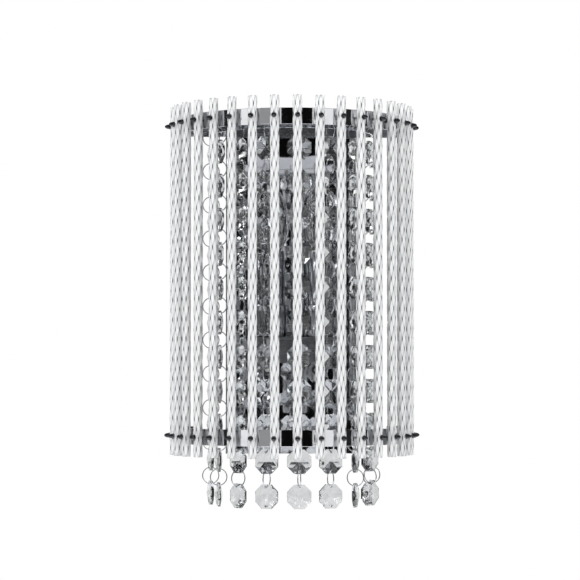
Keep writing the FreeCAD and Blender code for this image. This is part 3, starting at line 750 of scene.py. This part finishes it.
@dataclass
class RodPins:
    """The polished pins that hold the rods on their bands."""

    count: int = 17
    level: float = 130.5
    sides: int = 20
    profile: Profile = (
        (1.0, 91.8), (1.0, 103.7), (2.2, 104.0), (2.2, 104.6), (1.95, 104.9), (1.9, 105.6),
        (1.75, 106.5), (1.45, 107.3), (1.0, 108.0), (0.5, 108.4), (0.0, 108.5))

    def build(self) -> None:
        """Turns one pin, lays it through the front rod and copies it round both bands."""
        pin = Bench.turned("pin_model", self.profile, Vector((0, 0, 0)), self.sides)
        pin.data.transform(Matrix.Translation(AXIS) @ Matrix.Rotation(math.pi / 2, 4, "X"))
        copies = [Bench.copy(pin, "pin_copy",
                             Bench.round_axis(Bench.rod_angle(index, self.count), lift))
                  for lift in (self.level, -self.level) for index in range(self.count)]
        pins = Bench.joined(copies, "domed_rod_pins")
        Bench.take(pins)
        bpy.ops.object.shade_smooth_by_angle(angle=math.radians(40))
        Piece.dress(pins, PIN, Slot.CHROME, stands_for=["rod_pins"])
        bpy.data.objects.remove(pin)


@dataclass
class Band:
    """One polished band: a half ring with two straight legs and folded tabs."""

    node: str
    radius: float
    leg: float
    level: float
    height: float = 13.5
    sheet: float = 1.2
    tab: float = 13.0
    easing: float = 0.25
    steps: int = 120

    def build(self) -> None:
        """Sweeps the band's section round, folds its tabs and dresses it."""
        Bench.clear()
        end = AXIS.y + self.leg * MM
        middle = (self.radius - self.sheet / 2) * MM
        bpy.ops.mesh.primitive_plane_add(size=1, location=(middle, end, self.level * MM),
                                         rotation=(math.pi / 2, 0, 0))
        band = Bench.added("bent_" + self.node)
        band.scale = (self.sheet * MM, self.height * MM, 1)
        Bench.settle(band)
        bpy.ops.object.mode_set(mode="EDIT")
        bpy.ops.mesh.select_all(action="SELECT")
        Bench.extrude(Vector((0, -self.leg * MM, 0)))
        bpy.ops.mesh.spin(steps=self.steps, angle=math.pi, center=tuple(AXIS), axis=(0, 0, 1))
        Bench.extrude(Vector((0, self.leg * MM, 0)))
        bpy.ops.object.mode_set(mode="OBJECT")
        Bench.close(band)
        Bench.choose(band, Part.FACE, lambda face: face.normal.y > 0.99
                     and abs(face.center.y - end) < TOUCH)
        Bench.extrude(Vector((0, self.sheet * MM, 0)))
        for side in (1, -1):
            Bench.choose(band, Part.FACE, lambda face: face.center.y > end + 0.1 * MM
                         and face.normal.x * side < -0.99 and face.center.x * side > 0)
            Bench.extrude(Vector((-side * (self.tab - self.sheet) * MM, 0, 0)))
        bpy.ops.object.mode_set(mode="OBJECT")
        Bench.close(band)
        Bench.ease(band, self.easing)
        Bench.close(band)
        Piece.dress(band, CHROME, Slot.CHROME, stands_for=[self.node])


@dataclass
class Backplate:
    """The polished tray on the wall, with grommets where the leads come out."""

    wide: float = 112.0
    tall: float = 294.0
    deep: float = 17.3
    sheet: float = 1.2
    corner: float = 3.0
    easing: float = 0.25
    lead_spacing: float = 42.0
    lead_level: float = -75.5
    grommet: Profile = (
        (1.6, 0), (3.4, 0), (3.6, 0.5), (3.2, 1.2), (2.2, 1.5), (1.6, 1.2), (1.6, 0))

    def build(self) -> None:
        """Folds the tray from a block and sets the grommets."""
        Bench.clear()
        bpy.ops.mesh.primitive_cube_add(size=1, location=(0, -self.deep * MM / 2, 0))
        tray = Bench.added("folded_backplate")
        tray.scale = (self.wide * MM, self.deep * MM, self.tall * MM)
        Bench.settle(tray)
        Bench.choose(tray, Part.EDGE, lambda edge: abs(Bench.run(tray, edge).z) > 0.1
                     and Bench.middle(tray, edge).y < -0.001)
        bpy.ops.mesh.bevel(offset=self.corner * MM, segments=8, affect="EDGES")
        Bench.choose(tray, Part.FACE, lambda face: face.normal.y > 0.9)
        bpy.ops.mesh.delete(type="FACE")
        bpy.ops.object.mode_set(mode="OBJECT")
        Bench.modify(tray, "SOLIDIFY", thickness=self.sheet * MM, offset=-1.0)
        Bench.ease(tray, self.easing)
        Bench.close(tray)
        Piece.dress(tray, MIRROR, Slot.CHROME, stands_for=["backplate"])
        for hand, side in (("left", -1), ("right", 1)):
            ring = Bench.turned("grommet_" + hand, self.grommet, Vector((0, 0, 0)), 28,
                                hollow=True)
            spot = Vector((side * self.lead_spacing / 2, -self.deep, self.lead_level)) * MM
            ring.data.transform(Matrix.Translation(spot) @ Matrix.Rotation(math.pi / 2, 4, "X"))
            Piece.dress(ring, RUBBER, Slot.HOLDER)


@dataclass
class CandleLamp:
    """One lamp: holder, sleeve, screw cap, glass and filament."""

    hand: str
    across: float
    reach: float = -55.0
    foot: float = -48.0
    cup_height: float = 27.0
    cap_foot: float = 2.3
    glass_foot: float = 22.3
    glass_wall: float = 0.7
    holder_profile: Profile = (
        (1.9, 0), (14.6, 0), (15.6, 0.5), (16, 1.4), (16, 6), (15.5, 6.4), (15.5, 7.4), (16, 7.8),
        (16, 19.5), (15.5, 19.9), (15.5, 20.9), (16, 21.3), (16, 25.6), (15.5, 26.6), (14.6, 27),
        (12, 27), (12, 64), (11.6, 66.4), (10.8, 67), (7.6, 67), (7.08, 66.5), (7.08, 50),
        (1.9, 50), (1.9, 0))
    sleeve_profile: Profile = (
        (12.2, 0.3), (12.5, 0), (13.7, 0), (14, 0.3), (14, 43.6), (13.8, 44.5), (13.2, 45),
        (12.6, 44.8), (12.2, 44.2), (12.2, 0.3))
    glass_profile: Profile = (
        (8.5, 0), (10.4, 2.4), (12.5, 5.4), (14.4, 9.2), (16, 13.6), (17.1, 18.6), (17.5, 24),
        (17.35, 29), (16.7, 34), (15.5, 39), (13.9, 43.5), (11.9, 47.8), (9.5, 51.8), (7.4, 54.8),
        (5.6, 57.5), (4.0, 60), (2.6, 62.2), (1.5, 63.9), (0.7, 64.9), (0.0, 65.0))
    stem_profile: Profile = (
        (6.6, 0.2), (6.2, 2), (4.2, 5), (2.9, 9), (2.3, 14), (2.0, 18), (2.3, 19.2), (1.6, 20.4),
        (0.0, 20.8))
    post_line: Profile = ((1.0, 12), (1.1, 18), (1.6, 22), (5.0, 28), (7.6, 33), (7.9, 35))
    brace_line: Profile = ((0, 19), (0.1, 26), (-0.4, 31), (-0.6, 37))
    post_across: float = 0.5
    brace_across: float = 0.35
    coil_across: float = 0.16
    coil_turns: int = 22
    coil_reach: float = 7.8
    coil_radius: float = 0.45
    coil_level: float = 35.0
    coil_arch: float = 2.2

    def place(self, height: float) -> Vector:
        """A point on the lamp's axis at a height in millimetres."""
        return Vector((self.across, self.reach, height)) * MM

    def cap_profile(self) -> list[tuple[float, float]]:
        """The screw cap's rings: contact, taper, rolled thread and collar.

        Returns:
            Radius and height of each ring, in millimetres.
        """
        rings = [(1.4, 0), (3.0, 0.2), (3.5, 0.9), (3.5, 1.5), (6.5, 3.0)]
        for turn in range(4):
            low = 3.4 + turn * 2.82
            rings += [(6.55, low), (6.85, low + 0.7), (7.0, low + 1.2), (6.85, low + 1.7)]
        rings += [(6.55, 15.0), (6.7, 16.6), (8.4, 17.0), (9.0, 17.6), (9.0, 19.4), (8.7, 20.0)]
        return rings + [(8.2, 20.0), (0.0, 19.6)]

    def body(self) -> Body:
        """The body that the bulb turns with."""
        return Body.BULB_LEFT if self.hand == "left" else Body.BULB_RIGHT

    def build(self) -> None:
        """Builds and dresses every piece of the lamp."""
        holder = Bench.turned("turned_lampholder_" + self.hand, self.holder_profile,
                              self.place(self.foot), 48, hollow=True)
        Piece.dress(holder, HOLDER, Slot.HOLDER, stands_for=["lampholder_" + self.hand])
        sleeve = Bench.turned("eased_sleeve_" + self.hand, self.sleeve_profile,
                              self.place(self.foot + self.cup_height), 64, hollow=True)
        Piece.dress(sleeve, SLEEVE, Slot.SLEEVE, stands_for=["candle_sleeve_" + self.hand])
        cap = Bench.turned("threaded_cap_" + self.hand, self.cap_profile(),
                           self.place(self.cap_foot), 40)
        Piece.dress(cap, BRASS, Slot.BRASS, self.body(), ["bulb_cap_" + self.hand])
        self.glass()
        self.filament()

    def glass(self) -> None:
        """Blows the bulb's glass: an open shell with a thin wall."""
        place = self.place(self.glass_foot)
        bulb = Bench.turned("blown_bulb_" + self.hand, self.glass_profile, place, 48)
        Bench.choose(bulb, Part.FACE, lambda face: face.normal.z < -0.9 and len(face.vertices) > 4)
        bpy.ops.mesh.delete(type="ONLY_FACE")
        bpy.ops.object.mode_set(mode="OBJECT")
        Bench.modify(bulb, "SOLIDIFY", thickness=self.glass_wall * MM, offset=-1.0)
        Bench.take(bulb)
        bpy.ops.object.shade_smooth_by_angle(angle=math.radians(50))
        Piece.dress(bulb, BULB, Slot.BULB, self.body(), ["bulb_glass_" + self.hand])

    def filament(self) -> None:
        """Sets the stem, the two posts, the brace and the coiled filament inside the bulb."""
        foot = self.place(self.glass_foot)
        stem = Bench.turned("bulb_stem_" + self.hand, self.stem_profile, foot, 24)
        Piece.dress(stem, BULB, Slot.BULB, self.body())
        wires = []
        for side in (-1, 1):
            line = [foot + Vector((side * x, 0, z)) * MM for x, z in self.post_line]
            wires.append(Bench.wire("post", line, self.post_across))
        line = [foot + Vector((0, y, z)) * MM for y, z in self.brace_line]
        wires.append(Bench.wire("post", line, self.brace_across))
        wires.append(Bench.wire("coil", self.coil(foot), self.coil_across))
        mount = Bench.joined(wires, "filament_" + self.hand)
        Piece.dress(mount, TUNGSTEN, Slot.BRASS, self.body())

    def coil(self, foot: Vector) -> list[Vector]:
        """The line of the coiled filament, six points to a turn.

        Args:
            foot: the foot of the bulb's glass, in metres.

        Returns:
            The line's points, in metres.
        """
        points = []
        steps = self.coil_turns * 6
        for step in range(steps + 1):
            share = step / steps
            turn = share * self.coil_turns * 2 * math.pi
            lift = self.coil_level + self.coil_arch * (1 - abs(share * 2 - 1))
            points.append(foot + Vector((
                (share * 2 - 1) * self.coil_reach, self.coil_radius * math.cos(turn),
                lift + self.coil_radius * math.sin(turn))) * MM)
        return points


@dataclass
class TerminalStrip:
    """The three-way strip that joins the mains cable to the leads."""

    wide: float = 54.0
    tall: float = 16.0
    deep: float = 9.0
    back: float = -7.1
    level: float = -20.0
    ways: int = 3
    groove: float = 1.6
    groove_depth: float = 3.0
    well_rim: float = 4.6
    well_depth: float = 2.5
    easing: float = 0.4
    screw_sink: float = 2.6
    screw: Profile = ((2.3, 0), (2.3, 1.2), (2.0, 1.6), (0.9, 1.6), (0.9, 0.9), (0.0, 0.9))

    def build(self) -> None:
        """Cuts the strip into its ways, sinks their wells and adds the clamp screws."""
        Bench.clear()
        centre = Vector((0, self.back - self.deep / 2, self.level)) * MM
        bpy.ops.mesh.primitive_cube_add(size=1, location=centre)
        strip = Bench.added("moulded_terminal_block")
        strip.scale = (self.wide * MM, self.deep * MM, self.tall * MM)
        Bench.settle(strip)
        pitch = self.wide / self.ways
        for cut in (-0.5, 0.5):
            for side in (-1, 1):
                place = (cut * pitch + side * self.groove / 2) * MM
                Bench.choose(strip, Part.FACE, lambda face: True)
                bpy.ops.mesh.bisect(plane_co=(place, 0, 0), plane_no=(1, 0, 0))
                bpy.ops.object.mode_set(mode="OBJECT")
        front = (self.back - self.deep) * MM
        Bench.choose(strip, Part.FACE, lambda face: face.normal.y < -0.9 and face.area < 40e-6)
        Bench.extrude(Vector((0, self.groove_depth * MM, 0)))
        Bench.choose(strip, Part.FACE, lambda face: face.normal.y < -0.9
                     and abs(face.center.y - front) < 0.1 * MM)
        bpy.ops.mesh.inset(thickness=self.well_rim * MM, use_individual=True)
        Bench.extrude(Vector((0, self.well_depth * MM, 0)))
        bpy.ops.object.mode_set(mode="OBJECT")
        Bench.close(strip)
        Bench.ease(strip, self.easing)
        Bench.close(strip)
        Piece.dress(strip, BLOCK, Slot.HOLDER, stands_for=["terminal_block"])
        heads = []
        for way in (-1, 0, 1):
            head = Bench.turned("clamp", self.screw, Vector((0, 0, 0)), 20)
            spot = Vector((way * pitch, self.back - self.deep + self.screw_sink, self.level)) * MM
            head.data.transform(Matrix.Translation(spot) @ Matrix.Rotation(math.pi / 2, 4, "X"))
            heads.append(head)
        Piece.dress(Bench.joined(heads, "clamp_screws"), BRASS, Slot.BRASS)


@dataclass
class KeptNodes:
    """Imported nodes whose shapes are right; they get their finishes."""

    nodes: dict[str, bpy.types.Object]
    strands: int = 9
    finishes: dict[str, Finish] = field(default_factory=lambda: {
        "wall_bracket": STEEL, "bracket_studs": ZINC, "cap_nuts": CHROME, "lamp_bracket": STEEL,
        "upper_rear_strap": STEEL, "lower_rear_strap": STEEL, "frame_screws": ZINC,
        "frame_nuts": ZINC, "pin_nuts": ZINC, "lead_left": SHEATH, "lead_right": SHEATH})

    def build(self) -> None:
        """Gives each kept node its finish."""
        wanted = dict(self.finishes)
        for index in range(1, self.strands + 1):
            wanted["strand_%d_crystals" % index] = CRYSTAL
            wanted["strand_%d_rings" % index] = WIRE
        for name, finish in wanted.items():
            node = self.nodes[name]
            if not node.material_slots:
                node.data.materials.append(None)
            for slot in node.material_slots:
                slot.material = finish.material()
            LOG.info("node %s: %s", name, finish.name)


@dataclass
class Studio:
    """Floor, cards, lights, world and camera."""

    eye: Vector = field(default_factory=lambda: Vector((-0.0864, -1.865, -0.0728)))
    yaw: float = 2.645
    pitch: float = 2.032
    lens: float = 134.27
    floor_level: float = -0.9
    card_distance: float = 3.0
    card_height: float = 6.0
    cards: tuple[tuple[float, float, float], ...] = (
        (-125, -59.5, 0.02), (-59.5, -46, 1.0), (-46, -37, 0.08), (-37, -23, 0.35),
        (-23, -15, 0.5), (-15, -13, 1.0), (-13, 18, 0.004), (18, 21, 1.0), (21, 30, 0.12),
        (30, 41, 1.0), (41, 125, 0.02))
    canopies: tuple[tuple[str, float, float, float], ...] = (
        ("canopy", 7.0, 2.6, 0.03), ("canopy_panel", 1.5, 2.5, 1.0))
    lamps: tuple[tuple[str, tuple[float, float, float], float, float], ...] = (
        ("key", (-1.3, -1.6, 1.3), 1.6, 46), ("fill", (1.5, -1.5, 0.4), 1.8, 26),
        ("top", (0.0, 0.3, 1.9), 1.6, 18))

    @staticmethod
    def plain(name: str, colour: Colour, glow: float = 0.0) -> bpy.types.Material:
        """A stage material, lit or glowing.

        Args:
            name: the material's name.
            colour: its colour.
            glow: strength of its own light, 0 for a painted surface.

        Returns:
            The material.
        """
        material = bpy.data.materials.new(name)
        material.use_nodes = True
        shader = material.node_tree.nodes["Principled BSDF"]
        shader.inputs["Base Color"].default_value = (*colour, 1.0)
        shader.inputs["Roughness"].default_value = 0.9
        if glow:
            shader.inputs["Base Color"].default_value = (0, 0, 0, 1)
            shader.inputs["Specular IOR Level"].default_value = 0
            shader.inputs["Emission Color"].default_value = (*colour, 1.0)
            shader.inputs["Emission Strength"].default_value = glow
        return material

    def build(self) -> None:
        """Sets up the whole studio."""
        self.floor()
        self.reflections()
        self.lights()
        self.world()
        self.camera()

    def floor(self) -> None:
        """A plain pale floor well under the light."""
        Bench.clear()
        bpy.ops.mesh.primitive_plane_add(size=3.0, location=(0, -0.1, self.floor_level))
        floor = Bench.added("floor")
        floor.data.materials.append(self.plain("floor_paint", (0.82, 0.82, 0.82)))

    def reflections(self) -> None:
        """Cards in front and overhead that only polished and clear surfaces see."""
        for index, (low, high, light) in enumerate(self.cards):
            angle = math.radians((low + high) / 2)
            wide = 2 * self.card_distance * math.tan(math.radians(high - low) / 2)
            Bench.clear()
            bpy.ops.mesh.primitive_plane_add(
                size=1, rotation=(math.pi / 2, 0, angle),
                location=(self.card_distance * math.sin(angle),
                          AXIS.y - self.card_distance * math.cos(angle), 0))
            card = Bench.added("card_%02d" % index)
            card.scale = (wide, self.card_height, 1)
            self.hang(card, light)
        for name, size, level, light in self.canopies:
            Bench.clear()
            bpy.ops.mesh.primitive_plane_add(size=size, location=(0, -0.9, level))
            self.hang(Bench.added(name), light)

    def hang(self, card: bpy.types.Object, light: float) -> None:
        """Finishes a card that only polished and clear surfaces see.

        Args:
            card: the card's plane.
            light: how bright it is, from 0 to 1.
        """
        Bench.settle(card)
        card.data.materials.append(self.plain(card.name + "_face", (light, light, light), 1.0))
        card.visible_camera = False
        card.visible_diffuse = False
        card.visible_shadow = False

    def lights(self) -> None:
        """Large soft lights from the front left, the front right and above."""
        for name, place, size, power in self.lamps:
            lamp = bpy.data.lights.new(name, "AREA")
            lamp.size = size
            lamp.energy = power
            obj = bpy.data.objects.new(name, lamp)
            bpy.context.scene.collection.objects.link(obj)
            obj.location = place
            obj.rotation_euler = (-Vector(place)).to_track_quat("-Z", "Y").to_euler()
            obj.visible_glossy = False

    def world(self) -> None:
        """A white surround for the camera, metal and glass, and a softer one for the light."""
        world = bpy.data.worlds.new("surround")
        bpy.context.scene.world = world
        world.use_nodes = True
        tree = world.node_tree
        tree.nodes.clear()
        white = Wiring.node(tree, "ShaderNodeBackground", {"Color": (1, 1, 1, 1)})
        soft = Wiring.node(tree, "ShaderNodeBackground", {
            "Color": (0.9, 0.92, 0.95, 1), "Strength": 0.8})
        rays = Wiring.node(tree, "ShaderNodeLightPath").outputs
        seen = Wiring.step(tree, "ADD", rays["Is Camera Ray"], rays["Is Glossy Ray"])
        share = Wiring.node(tree, "ShaderNodeMath", {0: seen, 1: rays["Is Transmission Ray"]},
                            operation="ADD", use_clamp=True)
        mix = Wiring.node(tree, "ShaderNodeMixShader", {
            "Fac": share.outputs[0], 1: soft.outputs[0], 2: white.outputs[0]})
        Wiring.node(tree, "ShaderNodeOutputWorld", {"Surface": mix.outputs[0]})

    def camera(self) -> None:
        """The camera at the photograph's place."""
        data = bpy.data.cameras.new("camera")
        data.lens = self.lens
        data.sensor_width = 36
        camera = bpy.data.objects.new("camera", data)
        bpy.context.scene.collection.objects.link(camera)
        yaw, pitch = math.radians(self.yaw), math.radians(self.pitch)
        ahead = Vector((math.sin(yaw) * math.cos(pitch), math.cos(yaw) * math.cos(pitch),
                        math.sin(pitch)))
        camera.location = self.eye
        camera.rotation_euler = ahead.to_track_quat("-Z", "Y").to_euler()
        bpy.context.scene.camera = camera
        bpy.context.scene.view_settings.view_transform = "Standard"


def main() -> None:
    """Builds the wall light's looks in order."""
    logging.basicConfig(level=logging.INFO, format="%(message)s")
    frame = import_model()
    GlassRods().build()
    RodPins().build()
    Band("upper_outer_band", 95.7, 5.0, 130.5).build()
    Band("lower_outer_band", 95.7, 19.3, -130.5).build()
    Band("upper_inner_band", 69.4, 5.0, 130.5).build()
    Backplate().build()
    CandleLamp("left", -21.0).build()
    CandleLamp("right", 21.0).build()
    TerminalStrip().build()
    KeptNodes(frame["nodes"]).build()
    Studio().build()
    Bench.clear()


if __name__ == "__main__":
    main()
